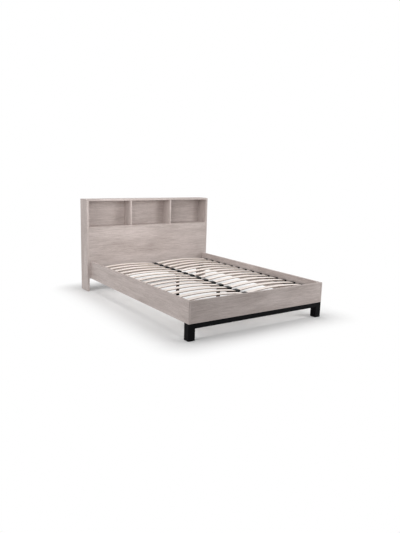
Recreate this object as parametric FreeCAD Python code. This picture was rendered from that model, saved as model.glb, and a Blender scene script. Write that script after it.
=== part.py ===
import FreeCAD, Part
import math
import os

# Bookcase headboard bed for a 1500 x 2000 mm mattress, in millimetres.
# X runs across the bed, +Y points from the foot to the headboard, +Z is up.
# The origin is on the floor, at the middle of the bed's footprint.

# --- Overall sizes ---
bed_width = 1650.0
bed_length = 2216.0
headboard_height = 1050.0
headboard_depth = 184.0
frame_inset = 42.5
rail_top = 347.0
leg_frame_height = 150.0

# --- Boards ---
gable_thickness = 25.0
top_thickness = 18.0
divider_thickness = 18.0
floor_thickness = 18.0
front_panel_thickness = 18.0
back_panel_thickness = 16.0
back_panel_inset = 3.0
compartment_height = 290.0
compartment_count = 3
rail_thickness = 22.0
foot_panel_thickness = 22.0
board_edge_radius = 0.8

# --- Slats ---
slat_rows = 15
first_slat_from_head = 105.0
last_slat_from_foot = 85.0
slat_width = 60.0
slat_thickness = 8.0
slat_bow = 28.0
slat_edge_radius = 2.2
slat_end_clearance = 1.0
slat_fit_clearance = 0.3

# --- Slat holders ---
slat_seat_height = 267.0
holder_length = 24.0
holder_height = 19.0
holder_floor = 4.0
holder_wall = 2.5
holder_end_wall = 3.5
holder_rail_gap = 1.0
holder_corner_radius = 1.6
centre_web = 6.0
peg_radius = 3.5
peg_length = 9.0
peg_spacing = 30.0
peg_clearance = 0.2

# --- Slat ledges: black steel angles on the side rails ---
ledge_width = 35.0
ledge_height = 35.0
ledge_wall = 2.5
ledge_end_gap = 2.0
ledge_screws = 7

# --- Centre rail and its legs ---
centre_rail_width = 40.0
centre_rail_height = 30.0
centre_rail_wall = 1.5
centre_rail_radius = 2.5
centre_rail_end_gap = 1.0
centre_leg_from_end = 624.0
centre_leg_radius = 19.0
centre_foot_radius = 23.0
centre_foot_height = 9.0
centre_foot_chamfer = 1.0
centre_stud_radius = 4.0
centre_stud_length = 12.0
cup_wall = 3.0
cup_depth = 32.0
cup_side_clearance = 0.5
cup_ear = 18.0

# --- Foot leg frame: square steel tube ---
leg_size = 68.0
leg_wall = 2.0
leg_top_plate = 4.0
leg_corner_radius = 3.0
crossbar_height = 45.0
crossbar_depth = 45.0
crossbar_corner_radius = 2.0
crossbar_screws = 4
crossbar_screw_margin = 120.0
access_hole_radius = 6.0
plug_base_height = 4.0
plug_base_inset = 1.0
plug_insert_height = 14.0
plug_clearance = 0.2

# --- Brackets, corner blocks and glides ---
bracket_leg = 45.0
bracket_height = 60.0
bracket_wall = 3.0
bracket_lift = 10.0
bracket_hole_spacing = 30.0
corner_block_size = 38.0
corner_block_ledge_gap = 4.0
block_chamfer = 1.0
block_hole_spacing = 40.0
block_hole_stagger = 10.0
block_hole_wall = 2.5
glide_radius = 11.0
glide_height = 3.0
glide_chamfer = 0.8
glide_pin_radius = 1.5
glide_pin_length = 12.0
glide_spacing = 120.0

# --- Dowels, cam fittings, bolts and screws ---
dowel_radius = 4.0
dowel_length = 30.0
dowel_shallow_depth = 11.0
dowel_end_gap = 1.0
dowel_chamfer = 1.0
dowel_spacing = 40.0
cam_radius = 7.5
cam_depth = 12.5
cam_reach = 34.0
cam_setback = 8.0
cam_slot_width = 1.6
cam_slot_depth = 1.2
cam_bolt_radius = 3.0
cam_head_radius = 3.4
cam_head_length = 4.0
cam_screw_length = 11.0
cam_spacing = 100.0
cam_edge_margin = 60.0
front_panel_cams = 3
back_panel_cams = 4
panel_dowels_along = 5
fit_gap = 0.1
clear_gap = 0.2
screw_radius = 2.0
screw_head_radius = 4.2
screw_head_height = 2.2
screw_recess_radius = 1.0
screw_recess_depth = 1.1
short_screw_length = 15.0
block_screw_bite = 12.0
counterbore_depth = 14.0
bolt_radius = 3.0
bolt_head_radius = 5.5
bolt_head_height = 3.3
bolt_socket_radius = 2.0
bolt_socket_depth = 2.0
bolt_bite = 13.0
leg_bolt_radius = 4.0
leg_bolt_head_radius = 6.5
leg_bolt_head_height = 8.0
leg_bolt_bite = 40.0

# --- Planes that several pieces share ---
x_outer = bed_width / 2
x_gable = x_outer - gable_thickness
x_frame = x_outer - frame_inset
x_well = x_frame - rail_thickness
x_holder_outer = x_well - holder_rail_gap
y_back = bed_length / 2
y_face = y_back - headboard_depth
y_back_panel = y_back - back_panel_inset - back_panel_thickness
y_foot = -bed_length / 2
y_well_foot = y_foot + foot_panel_thickness
z_top_underside = headboard_height - top_thickness
z_floor_top = z_top_underside - compartment_height
z_floor_underside = z_floor_top - floor_thickness
z_rail_bottom = leg_frame_height
z_centre_rail_bottom = slat_seat_height - centre_rail_height
z_ledge_bottom = slat_seat_height - ledge_height
y_compartment_middle = (y_face + y_back_panel) / 2

LEFT = -1
RIGHT = 1
SIDES = (LEFT, RIGHT)
SIDE_NAMES = {LEFT: "left", RIGHT: "right"}
X = FreeCAD.Vector(1, 0, 0)
Y = FreeCAD.Vector(0, 1, 0)
Z = FreeCAD.Vector(0, 0, 1)
PARALLEL = 0.999

pieces = {}
bores = {}
groups = {}


def point(x, y, z):
    return FreeCAD.Vector(x, y, z)


def box(x0, x1, y0, y1, z0, z1):
    """Block between two planes on each axis, given in either order."""
    low = point(min(x0, x1), min(y0, y1), min(z0, z1))
    return Part.makeBox(abs(x1 - x0), abs(y1 - y0), abs(z1 - z0), low)


def board(x0, x1, y0, y1, z0, z1):
    """Laminated board with its edging slightly rounded all round."""
    plain = box(x0, x1, y0, y1, z0, z1)
    return plain.makeFillet(board_edge_radius, plain.Edges)


def rod(start, direction, radius, length):
    return Part.makeCylinder(radius, length, start, direction)


def edges_along(shape, direction):
    """Straight edges that run parallel to a direction."""
    found = []
    for edge in shape.Edges:
        if isinstance(edge.Curve, Part.Line) and abs(edge.Curve.Direction.dot(direction)) > PARALLEL:
            found.append(edge)
    return found


def bore(node, start, direction, radius, length):
    """Keep a round hole for cutting when the node is finished."""
    bores.setdefault(node, []).append(rod(start, direction, radius, length))


def add_to_group(node, solid):
    groups.setdefault(node, []).append(solid)


def spread(low, high, count):
    """Evenly spaced places from low to high, both included."""
    if count == 1:
        return [(low + high) / 2]
    step = (high - low) / (count - 1)
    return [low + step * index for index in range(count)]


# --- Joint hardware ---


def join_with_dowel(shallow_node, deep_node, place, direction):
    """Beech dowel across a joint; direction points into the deep node."""
    start = place - direction * dowel_shallow_depth
    dowel = rod(start, direction, dowel_radius, dowel_length)
    ends = [edge for edge in dowel.Edges if isinstance(edge.Curve, Part.Circle)]
    add_to_group("panel_dowels", dowel.makeChamfer(dowel_chamfer, ends))
    hole_radius = dowel_radius + fit_gap
    bore(shallow_node, place, -direction, hole_radius, dowel_shallow_depth + dowel_end_gap)
    bore(deep_node, place, direction, hole_radius, dowel_length - dowel_shallow_depth + dowel_end_gap)


def cam_disc(face_centre, outward, bolt_direction):
    """Slotted cam disc, hollow where the head of its bolt sits."""
    disc = rod(face_centre, -outward, cam_radius, cam_depth)
    along = outward.cross(bolt_direction)
    for length_way, width_way in ((bolt_direction, along), (along, bolt_direction)):
        corner = face_centre - length_way * cam_radius - width_way * (cam_slot_width / 2)
        slot = Part.makePolygon([
            corner,
            corner + length_way * (2 * cam_radius),
            corner + length_way * (2 * cam_radius) + width_way * cam_slot_width,
            corner + width_way * cam_slot_width,
            corner,
        ])
        disc = disc.cut(Part.Face(slot).extrude(outward * -cam_slot_depth))
    return disc


def join_with_cam(screw_node, disc_node, joint, direction, outward):
    """Cam bolt in one board and cam disc in the other.

    joint is where the disc's bored face meets the joint, direction points into the
    disc's board and outward points out of its bored face.
    """
    place = joint - outward * cam_setback
    disc_middle = place + direction * cam_reach
    face_centre = joint + direction * cam_reach
    pocket = rod(place, direction, cam_head_radius + clear_gap,
                 cam_reach + cam_head_length / 2 + clear_gap)
    disc = cam_disc(face_centre, outward, direction)
    add_to_group("cam_fittings", disc.cut(pocket))
    bolt = rod(place - direction * cam_screw_length, direction, cam_head_radius, cam_screw_length)
    bolt = bolt.fuse(rod(place, direction, cam_bolt_radius, cam_reach))
    head_start = disc_middle - direction * (cam_head_length / 2)
    bolt = bolt.fuse(rod(head_start, direction, cam_head_radius, cam_head_length))
    add_to_group("cam_fittings", bolt.removeSplitter())
    bore(screw_node, place, -direction, cam_head_radius + fit_gap, cam_screw_length + dowel_end_gap)
    disc_bore = rod(face_centre, -outward, cam_radius + fit_gap, cam_depth + fit_gap)
    bores.setdefault(disc_node, []).append(disc_bore.fuse(pocket))


def drive_screw(target, place, direction, grip, bite):
    """Pan-head screw: grip is what it clamps and bite is its length in the target board."""
    screw = rod(place, direction, screw_radius, grip + bite)
    head = rod(place, -direction, screw_head_radius, screw_head_height)
    recess = rod(place - direction * screw_head_height, direction, screw_recess_radius, screw_recess_depth)
    add_to_group("wood_screws", head.fuse(screw).removeSplitter().cut(recess))
    bore(target, place + direction * grip, direction, screw_radius + fit_gap, bite + dowel_end_gap)


def drive_bolt(target, place, direction, grip, bite, radius, head_radius, head_height):
    """Socket-head bolt through a plate into a threaded insert."""
    head = rod(place - direction * head_height, direction, head_radius, head_height)
    socket = rod(place - direction * head_height, direction, bolt_socket_radius, bolt_socket_depth)
    shank = rod(place, direction, radius, grip + bite)
    add_to_group("frame_bolts", head.fuse(shank).removeSplitter().cut(socket))
    bore(target, place + direction * grip, direction, radius + fit_gap, bite + dowel_end_gap)


# --- Bookcase headboard ---


def divider_middles():
    """X of the middle of each divider, with all compartments the same width."""
    free_width = 2 * x_gable - divider_thickness * (compartment_count - 1)
    compartment = free_width / compartment_count
    first = -x_gable + compartment + divider_thickness / 2
    return [first + index * (compartment + divider_thickness) for index in range(compartment_count - 1)]


def make_headboard_boards():
    pieces["top_panel"] = board(-x_outer, x_outer, y_face, y_back, z_top_underside, headboard_height)
    for side in SIDES:
        name = "gable_" + SIDE_NAMES[side]
        pieces[name] = board(side * x_gable, side * x_outer, y_face, y_back, glide_height, z_top_underside)
    pieces["compartment_floor"] = board(
        -x_gable, x_gable, y_face, y_back_panel, z_floor_underside, z_floor_top)
    pieces["headboard_front_panel"] = board(
        -x_gable, x_gable, y_face, y_face + front_panel_thickness, z_rail_bottom, z_floor_underside)
    pieces["headboard_back_panel"] = board(
        -x_gable, x_gable, y_back_panel, y_back_panel + back_panel_thickness, z_rail_bottom, z_top_underside)
    for index, middle in enumerate(divider_middles()):
        pieces["divider_%d" % (index + 1)] = board(
            middle - divider_thickness / 2, middle + divider_thickness / 2,
            y_face, y_back_panel, z_floor_top, z_top_underside)


def join_headboard_boards():
    cam_rows = (y_compartment_middle - cam_spacing / 2, y_compartment_middle + cam_spacing / 2)
    dowel_rows = (y_compartment_middle - dowel_spacing / 2, y_compartment_middle + dowel_spacing / 2)
    front_middle = y_face + front_panel_thickness / 2
    back_middle = y_back_panel + back_panel_thickness / 2
    floor_middle = z_floor_top - floor_thickness / 2
    for side in SIDES:
        gable = "gable_" + SIDE_NAMES[side]
        inwards = X * -side
        x_face = side * x_gable
        gable_middle = side * (x_gable + gable_thickness / 2)
        for y in cam_rows:
            join_with_cam("top_panel", gable, point(x_face, y, z_top_underside), -Z, inwards)
            join_with_cam(gable, "compartment_floor", point(x_face, y, z_floor_underside), inwards, -Z)
        for y in dowel_rows:
            join_with_dowel("top_panel", gable, point(gable_middle, y, z_top_underside), -Z)
            join_with_dowel(gable, "compartment_floor", point(x_face, y, floor_middle), inwards)
        z_lowest = z_rail_bottom + cam_edge_margin
        for z in spread(z_lowest, z_floor_underside - cam_edge_margin, front_panel_cams):
            join_with_cam(gable, "headboard_front_panel",
                          point(x_face, y_face + front_panel_thickness, z), inwards, Y)
        for z in spread(z_lowest, z_top_underside - cam_edge_margin, back_panel_cams):
            join_with_cam(gable, "headboard_back_panel",
                          point(x_face, y_back_panel + back_panel_thickness, z), inwards, Y)
    for index, middle in enumerate(divider_middles()):
        divider = "divider_%d" % (index + 1)
        for y in cam_rows:
            join_with_dowel("compartment_floor", divider, point(middle, y, z_floor_top), Z)
            join_with_dowel("top_panel", divider, point(middle, y, z_top_underside), -Z)
    for x in spread(-x_gable + cam_edge_margin, x_gable - cam_edge_margin, panel_dowels_along):
        join_with_dowel("compartment_floor", "headboard_front_panel",
                        point(x, front_middle, z_floor_underside), -Z)
        join_with_dowel("top_panel", "headboard_back_panel",
                        point(x, back_middle, z_top_underside), -Z)


def make_gable_glides():
    """Plastic glides nailed under the gables."""
    gable_depth_middle = (y_face + y_back) / 2
    for side in SIDES:
        x = side * (x_gable + gable_thickness / 2)
        for y in (gable_depth_middle - glide_spacing / 2, gable_depth_middle + glide_spacing / 2):
            pad = rod(point(x, y, 0), Z, glide_radius, glide_height)
            rim = [edge for edge in pad.Edges
                   if isinstance(edge.Curve, Part.Circle) and edge.BoundBox.ZMax < glide_height / 2]
            pad = pad.makeChamfer(glide_chamfer, rim)
            pin = rod(point(x, y, glide_height / 2), Z, glide_pin_radius, glide_height / 2 + glide_pin_length)
            add_to_group("gable_glides", pad.fuse(pin).removeSplitter())
            bore("gable_" + SIDE_NAMES[side], point(x, y, glide_height), Z,
                 glide_pin_radius + fit_gap, glide_pin_length + dowel_end_gap)


# --- Side rails, foot panel and what ties them together ---


def make_frame_boards():
    for side in SIDES:
        name = "side_rail_" + SIDE_NAMES[side]
        pieces[name] = board(side * x_well, side * x_frame, y_foot, y_face, z_rail_bottom, rail_top)
    pieces["foot_panel"] = board(-x_well, x_well, y_foot, y_well_foot, z_rail_bottom, rail_top)
    panel_middle = y_foot + foot_panel_thickness / 2
    for side in SIDES:
        for z in (z_rail_bottom + cam_edge_margin, rail_top - cam_edge_margin):
            join_with_dowel("side_rail_" + SIDE_NAMES[side], "foot_panel",
                            point(side * x_well, panel_middle, z), X * -side)


def make_head_brackets():
    """Steel angles in the corners between the side rails and the headboard."""
    z_low = z_rail_bottom + bracket_lift
    z_middle = z_low + bracket_height / 2
    arm_middle = (bracket_wall + bracket_leg) / 2
    for side in SIDES:
        rail_leg = box(side * x_well, side * (x_well - bracket_wall),
                       y_face, y_face - bracket_leg, z_low, z_low + bracket_height)
        head_leg = box(side * x_well, side * (x_well - bracket_leg),
                       y_face, y_face - bracket_wall, z_low, z_low + bracket_height)
        angle = rail_leg.fuse(head_leg).removeSplitter()
        for offset in (-bracket_hole_spacing / 2, bracket_hole_spacing / 2):
            z = z_middle + offset
            screw_place = point(side * (x_well - bracket_wall), y_face - arm_middle, z)
            angle = angle.cut(rod(screw_place, X * side, screw_radius + clear_gap, bracket_wall))
            drive_screw("side_rail_" + SIDE_NAMES[side], screw_place, X * side,
                        bracket_wall, short_screw_length - bracket_wall)
            bolt_place = point(side * (x_well - arm_middle), y_face - bracket_wall, z)
            angle = angle.cut(rod(bolt_place, Y, bolt_radius + clear_gap, bracket_wall))
            drive_bolt("headboard_front_panel", bolt_place, Y, bracket_wall, bolt_bite,
                       bolt_radius, bolt_head_radius, bolt_head_height)
        add_to_group("head_corner_brackets", angle)


def make_foot_corner_blocks():
    """Timber blocks behind the foot panel, which take the leg bolts."""
    z_high = z_ledge_bottom - corner_block_ledge_gap
    z_middle = (z_rail_bottom + z_high) / 2
    clamp = corner_block_size - counterbore_depth
    head_space = screw_head_radius + clear_gap
    off_bolt = leg_bolt_radius + head_space + block_hole_wall
    for side in SIDES:
        rail = "side_rail_" + SIDE_NAMES[side]
        block = box(side * x_well, side * (x_well - corner_block_size),
                    y_well_foot, y_well_foot + corner_block_size, z_rail_bottom, z_high)
        block = block.makeChamfer(block_chamfer, edges_along(block, Z))
        x_middle = side * (x_well - corner_block_size / 2)
        y_middle = y_well_foot + corner_block_size / 2
        # Each screw passes beside the leg bolt, and the two directions are at different heights.
        beside_rail_screw = Y * off_bolt
        beside_panel_screw = X * (-side * off_bolt)
        screw_lines = (
            (rail, X * side, beside_rail_screw, -block_hole_spacing / 2),
            (rail, X * side, beside_rail_screw, block_hole_stagger),
            ("foot_panel", -Y, beside_panel_screw, -block_hole_stagger),
            ("foot_panel", -Y, beside_panel_screw, block_hole_spacing / 2),
        )
        for target, direction, beside, lift in screw_lines:
            middle = point(x_middle, y_middle, z_middle + lift) + beside
            place = middle + direction * (corner_block_size / 2 - clamp)
            drive_screw(target, place, direction, clamp, block_screw_bite)
            block = block.cut(rod(place, direction, screw_radius + clear_gap, clamp))
            block = block.cut(rod(place, -direction, head_space, counterbore_depth))
        bolt_hole_depth = leg_bolt_bite + dowel_end_gap
        block = block.cut(rod(point(x_middle, y_middle, z_rail_bottom), Z,
                              leg_bolt_radius + fit_gap, bolt_hole_depth))
        add_to_group("foot_corner_blocks", block)


# --- Foot leg frame ---


def make_foot_leg(side):
    """Square tube leg, open below for its plug and closed above by a welded plate."""
    x_inner = x_frame - leg_size
    y_inner = y_foot + leg_size
    tube = box(side * x_frame, side * x_inner, y_foot, y_inner, plug_base_height, leg_frame_height)
    tube = tube.makeFillet(leg_corner_radius, edges_along(tube, Z))
    hollow = box(side * (x_frame - leg_wall), side * (x_inner + leg_wall), y_foot + leg_wall,
                 y_inner - leg_wall, 0, leg_frame_height - leg_top_plate)
    hollow = hollow.makeFillet(leg_corner_radius - leg_wall / 2, edges_along(hollow, Z))
    leg = tube.cut(hollow)
    x_bolt = side * (x_well - corner_block_size / 2)
    y_bolt = y_well_foot + corner_block_size / 2
    bolt_place = point(x_bolt, y_bolt, leg_frame_height - leg_top_plate)
    leg = leg.cut(rod(bolt_place, Z, leg_bolt_radius + clear_gap, leg_top_plate))
    head = rod(bolt_place - Z * leg_bolt_head_height, Z, leg_bolt_head_radius, leg_bolt_head_height)
    shank = rod(bolt_place, Z, leg_bolt_radius, leg_top_plate + leg_bolt_bite)
    add_to_group("frame_bolts", head.fuse(shank).removeSplitter())
    pieces["foot_leg_" + SIDE_NAMES[side]] = leg
    base = box(side * (x_frame - plug_base_inset), side * (x_inner + plug_base_inset),
               y_foot + plug_base_inset, y_inner - plug_base_inset, 0, plug_base_height)
    base = base.makeFillet(leg_corner_radius - plug_base_inset / 2, edges_along(base, Z))
    wall_gap = leg_wall + plug_clearance
    insert = box(side * (x_frame - wall_gap), side * (x_inner + wall_gap), y_foot + wall_gap,
                 y_inner - wall_gap, plug_base_height, plug_base_height + plug_insert_height)
    insert = insert.makeFillet(leg_corner_radius, edges_along(insert, Z))
    add_to_group("leg_plugs", base.fuse(insert).removeSplitter())


def make_crossbar():
    """Square tube between the legs, screwed up into the foot panel's lower edge."""
    x_end = x_frame - leg_size
    y_rear = y_foot + crossbar_depth
    z_low = leg_frame_height - crossbar_height
    bar = box(-x_end, x_end, y_foot, y_rear, z_low, leg_frame_height)
    bar = bar.makeFillet(crossbar_corner_radius, edges_along(bar, X))
    hollow = box(-x_end, x_end, y_foot + leg_wall, y_rear - leg_wall,
                 z_low + leg_wall, leg_frame_height - leg_wall)
    bar = bar.cut(hollow)
    y_screw = y_foot + foot_panel_thickness / 2
    reach = x_end - crossbar_screw_margin
    for x in spread(-reach, reach, crossbar_screws):
        place = point(x, y_screw, leg_frame_height - leg_wall)
        bar = bar.cut(rod(place, Z, screw_radius + clear_gap, leg_wall))
        bar = bar.cut(rod(point(x, y_screw, z_low), Z, access_hole_radius, leg_wall))
        drive_screw("foot_panel", place, Z, leg_wall, short_screw_length)
    pieces["foot_crossbar"] = bar


# --- Slat supports ---


def slat_row_middles():
    return spread(y_face - first_slat_from_head, y_well_foot + last_slat_from_foot, slat_rows)


def make_ledge(side):
    """Steel angle along a side rail, with holes for the holders' pegs."""
    y_head = y_face - ledge_end_gap
    y_end = y_well_foot + ledge_end_gap
    flange = box(side * x_well, side * (x_well - ledge_width), y_end, y_head,
                 slat_seat_height - ledge_wall, slat_seat_height)
    web = box(side * x_well, side * (x_well - ledge_wall), y_end, y_head, z_ledge_bottom, slat_seat_height)
    ledge = flange.fuse(web).removeSplitter()
    rows = slat_row_middles()
    x_peg = side * (x_holder_outer - holder_length / 2)
    holes = []
    for y in rows:
        for offset in (-peg_spacing / 2, peg_spacing / 2):
            holes.append(rod(point(x_peg, y + offset, slat_seat_height - ledge_wall), Z,
                             peg_radius + peg_clearance, ledge_wall))
    half_row = (rows[0] - rows[-1]) / (slat_rows - 1) / 2
    z_screw = (z_ledge_bottom + slat_seat_height - ledge_wall) / 2
    for y in spread(rows[0] - half_row, rows[-1] + half_row, ledge_screws):
        place = point(side * (x_well - ledge_wall), y, z_screw)
        holes.append(rod(place, X * side, screw_radius + clear_gap, ledge_wall))
        drive_screw("side_rail_" + SIDE_NAMES[side], place, X * side,
                    ledge_wall, short_screw_length - ledge_wall)
    pieces["slat_ledge_" + SIDE_NAMES[side]] = ledge.cut(Part.makeCompound(holes))


def make_centre_rail():
    """Steel tube down the middle, in a cup at each end and on two legs."""
    end_gap = cup_wall + centre_rail_end_gap
    y_head = y_face - end_gap
    y_end = y_well_foot + end_gap
    half_width = centre_rail_width / 2
    tube = box(-half_width, half_width, y_end, y_head, z_centre_rail_bottom, slat_seat_height)
    tube = tube.makeFillet(centre_rail_radius, edges_along(tube, Y))
    inner = half_width - centre_rail_wall
    hollow = box(-inner, inner, y_end, y_head,
                 z_centre_rail_bottom + centre_rail_wall, slat_seat_height - centre_rail_wall)
    rail = tube.cut(hollow)
    holes = []
    for y in slat_row_middles():
        for offset in (-peg_spacing / 2, peg_spacing / 2):
            holes.append(rod(point(0, y + offset, slat_seat_height - centre_rail_wall), Z,
                             peg_radius + peg_clearance, centre_rail_wall))
    leg_places = {"head": y_face - centre_leg_from_end, "foot": y_well_foot + centre_leg_from_end}
    for end, y in leg_places.items():
        holes.append(rod(point(0, y, z_centre_rail_bottom), Z,
                         centre_stud_radius + peg_clearance, centre_rail_wall))
        pieces["centre_leg_" + end] = centre_leg(y)
    pieces["centre_rail"] = rail.cut(Part.makeCompound(holes))


def centre_leg(y):
    """Round leg with a wider foot and a threaded stud into the centre rail."""
    post = rod(point(0, y, 0), Z, centre_leg_radius, z_centre_rail_bottom)
    foot = rod(point(0, y, 0), Z, centre_foot_radius, centre_foot_height)
    rims = [edge for edge in foot.Edges if isinstance(edge.Curve, Part.Circle)]
    foot = foot.makeChamfer(centre_foot_chamfer, rims)
    stud = rod(point(0, y, z_centre_rail_bottom), Z, centre_stud_radius, centre_stud_length)
    return post.fuse(foot).fuse(stud).removeSplitter()


def make_rail_cup(y_wall, towards):
    """Steel cup that carries one end of the centre rail; towards is +1 or -1 along Y."""
    inner = centre_rail_width / 2 + cup_side_clearance
    outer = inner + cup_wall
    y_plate = y_wall + towards * cup_wall
    y_open = y_wall + towards * cup_depth
    z_low = z_centre_rail_bottom - cup_wall
    z_high = slat_seat_height - centre_rail_radius
    body = box(-outer, outer, y_wall, y_open, z_low, z_high)
    pocket = box(-inner, inner, y_plate, y_open, z_centre_rail_bottom, z_high)
    ears = box(-outer - cup_ear, outer + cup_ear, y_wall, y_plate, z_low, z_high)
    cup = body.cut(pocket).fuse(ears).removeSplitter()
    target = "headboard_front_panel" if towards < 0 else "foot_panel"
    for side in SIDES:
        place = point(side * (outer + cup_ear / 2), y_plate, (z_low + z_high) / 2)
        cup = cup.cut(rod(place, Y * -towards, screw_radius + clear_gap, cup_wall))
        drive_screw(target, place, Y * -towards, cup_wall, short_screw_length - cup_wall)
    add_to_group("centre_rail_cups", cup)


# --- Slats and their holders ---

x_slat_inner = centre_web / 2 + slat_end_clearance
x_slat_outer = x_holder_outer - holder_end_wall - slat_end_clearance
slat_chord = x_slat_outer - x_slat_inner
slat_radius = slat_chord ** 2 / (8 * slat_bow) + slat_bow / 2
slat_half_angle = math.asin(slat_chord / 2 / slat_radius)
x_slat_middle = (x_slat_inner + x_slat_outer) / 2
z_slat_end = slat_seat_height + holder_floor + slat_fit_clearance
z_slat_centre = z_slat_end - slat_radius * math.cos(slat_half_angle)


def arched_strip(y, gap, end_gap):
    """The right-hand slat's arched strip about y, grown by gap all round and by end_gap at its ends."""
    half_angle = slat_half_angle + end_gap / slat_radius
    inner = slat_radius - gap
    outer = slat_radius + slat_thickness + gap
    half_width = slat_width / 2 + gap

    def on_arc(radius, angle):
        return point(x_slat_middle + radius * math.sin(angle), y - half_width,
                     z_slat_centre + radius * math.cos(angle))

    low = Part.Arc(on_arc(inner, -half_angle), on_arc(inner, 0), on_arc(inner, half_angle)).toShape()
    high = Part.Arc(on_arc(outer, -half_angle), on_arc(outer, 0), on_arc(outer, half_angle)).toShape()
    ends = [
        Part.makeLine(on_arc(inner, half_angle), on_arc(outer, half_angle)),
        Part.makeLine(on_arc(outer, -half_angle), on_arc(inner, -half_angle)),
    ]
    outline = Part.Wire(Part.__sortEdges__([low, ends[0], high, ends[1]]))
    return Part.Face(outline).extrude(point(0, 2 * half_width, 0))


def mirrored(shape):
    """The same shape on the other side of the bed."""
    return shape.mirror(point(0, 0, 0), X)


def make_slats():
    plain = arched_strip(0, 0, 0)
    long_edges = [edge for edge in plain.Edges if isinstance(edge.Curve, Part.Circle)]
    slats = {RIGHT: plain.makeFillet(slat_edge_radius, long_edges)}
    slats[LEFT] = mirrored(slats[RIGHT])
    for row, y in enumerate(slat_row_middles()):
        for side in SIDES:
            slat = slats[side].copy()
            slat.translate(point(0, y, 0))
            pieces["slat_%s_%02d" % (SIDE_NAMES[side], row + 1)] = slat


def holder_block(x0, x1):
    """Rounded plastic block on the slat seat, with two pegs below it."""
    half_width = slat_width / 2 + slat_fit_clearance + holder_wall
    block = box(x0, x1, -half_width, half_width, slat_seat_height, slat_seat_height + holder_height)
    rounded = [edge for edge in block.Edges if edge.BoundBox.ZMax > slat_seat_height + holder_floor]
    block = block.makeFillet(holder_corner_radius, rounded)
    for offset in (-peg_spacing / 2, peg_spacing / 2):
        peg_top = point((x0 + x1) / 2, offset, slat_seat_height)
        block = block.fuse(rod(peg_top, -Z, peg_radius, peg_length))
    return block.removeSplitter()


def make_holders():
    pocket = arched_strip(0, slat_fit_clearance, slat_end_clearance)
    side_holder = holder_block(x_holder_outer - holder_length, x_holder_outer).cut(pocket)
    half_centre = centre_web / 2 + holder_length
    centre_holder = holder_block(-half_centre, half_centre).cut(pocket).cut(mirrored(pocket))
    patterns = (
        ("side_slat_holders", side_holder),
        ("side_slat_holders", mirrored(side_holder)),
        ("centre_slat_holders", centre_holder),
    )
    for y in slat_row_middles():
        for group, pattern in patterns:
            holder = pattern.copy()
            holder.translate(point(0, y, 0))
            add_to_group(group, holder)


# --- Build and write the nodes ---


def solids_of(node, shape):
    """The node's solids once its kept bores are cut."""
    if node in bores:
        shape = shape.cut(Part.makeCompound(bores[node]))
    return shape.Solids


def write_node(node, solids):
    for solid in solids:
        if not solid.isValid():
            raise ValueError("invalid solid in " + node)
    shape = solids[0] if len(solids) == 1 else Part.makeCompound(solids)
    shape.exportStep("parts/%s.step" % node)


def main():
    make_headboard_boards()
    join_headboard_boards()
    make_gable_glides()
    make_frame_boards()
    make_head_brackets()
    make_foot_corner_blocks()
    for side in SIDES:
        make_foot_leg(side)
        make_ledge(side)
    make_crossbar()
    make_centre_rail()
    make_rail_cup(y_face, -1)
    make_rail_cup(y_well_foot, 1)
    make_slats()
    make_holders()
    os.makedirs("parts", exist_ok=True)
    for node, shape in pieces.items():
        write_node(node, solids_of(node, shape))
    for node, solids in groups.items():
        write_node(node, solids)
    print(len(pieces) + len(groups), "nodes")


main()
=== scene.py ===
import contextlib
import math

import bmesh
import bpy
from mathutils import Matrix, Vector


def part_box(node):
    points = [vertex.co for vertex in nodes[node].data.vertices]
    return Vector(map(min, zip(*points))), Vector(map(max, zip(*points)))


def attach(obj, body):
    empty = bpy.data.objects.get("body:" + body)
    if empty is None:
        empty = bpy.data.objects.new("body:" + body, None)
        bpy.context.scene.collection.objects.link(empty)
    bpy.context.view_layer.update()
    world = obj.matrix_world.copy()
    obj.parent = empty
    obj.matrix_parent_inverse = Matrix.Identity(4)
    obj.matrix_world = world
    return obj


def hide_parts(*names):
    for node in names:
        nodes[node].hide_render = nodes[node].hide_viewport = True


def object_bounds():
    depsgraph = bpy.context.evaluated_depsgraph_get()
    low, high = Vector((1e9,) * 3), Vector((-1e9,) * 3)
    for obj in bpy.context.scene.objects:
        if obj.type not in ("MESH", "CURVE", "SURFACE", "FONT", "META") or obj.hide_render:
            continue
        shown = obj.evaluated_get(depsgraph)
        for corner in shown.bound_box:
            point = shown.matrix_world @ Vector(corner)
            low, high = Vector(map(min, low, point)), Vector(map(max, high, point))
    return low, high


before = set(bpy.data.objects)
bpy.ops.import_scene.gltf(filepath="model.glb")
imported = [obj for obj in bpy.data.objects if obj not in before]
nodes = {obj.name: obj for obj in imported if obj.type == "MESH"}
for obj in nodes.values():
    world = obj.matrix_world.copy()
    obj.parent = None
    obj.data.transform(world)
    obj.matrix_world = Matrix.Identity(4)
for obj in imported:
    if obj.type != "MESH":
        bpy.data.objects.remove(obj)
cad_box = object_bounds()

bl_info = {
    "name": "Bookcase headboard bed",
    "version": (1, 0, 0),
    "blender": (4, 5, 0),
    "location": "View3D > Sidebar > Bed",
    "description": "Finishes and fittings of a grey oak bed with an open bookcase headboard",
    "category": "Object",
}

# --- The camera: its place in metres, its focal length and centre in the photograph's pixels ---
FRAME_WIDTH = 400
FRAME_HEIGHT = 533
CAMERA_PLACE = Vector((-3.038, -4.473, 1.402))
CAMERA_YAW = math.radians(33.27)
CAMERA_PITCH = math.radians(11.06)
CAMERA_ROLL = math.radians(1.32)
CAMERA_REACH = 200.0
FOCAL_PIXELS = 512.3
CENTRE_PIXEL_X = 185.0
CENTRE_PIXEL_Y = 269.7

# --- Which boards' grain runs which way ---
GRAIN_ACROSS_BED = (
    "top_panel",
    "compartment_floor",
    "headboard_front_panel",
    "headboard_back_panel",
    "foot_panel",
)
GRAIN_ALONG_BED = ("side_rail_left", "side_rail_right")
GRAIN_UPRIGHT = ("gable_left", "gable_right", "divider_1", "divider_2")

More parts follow.
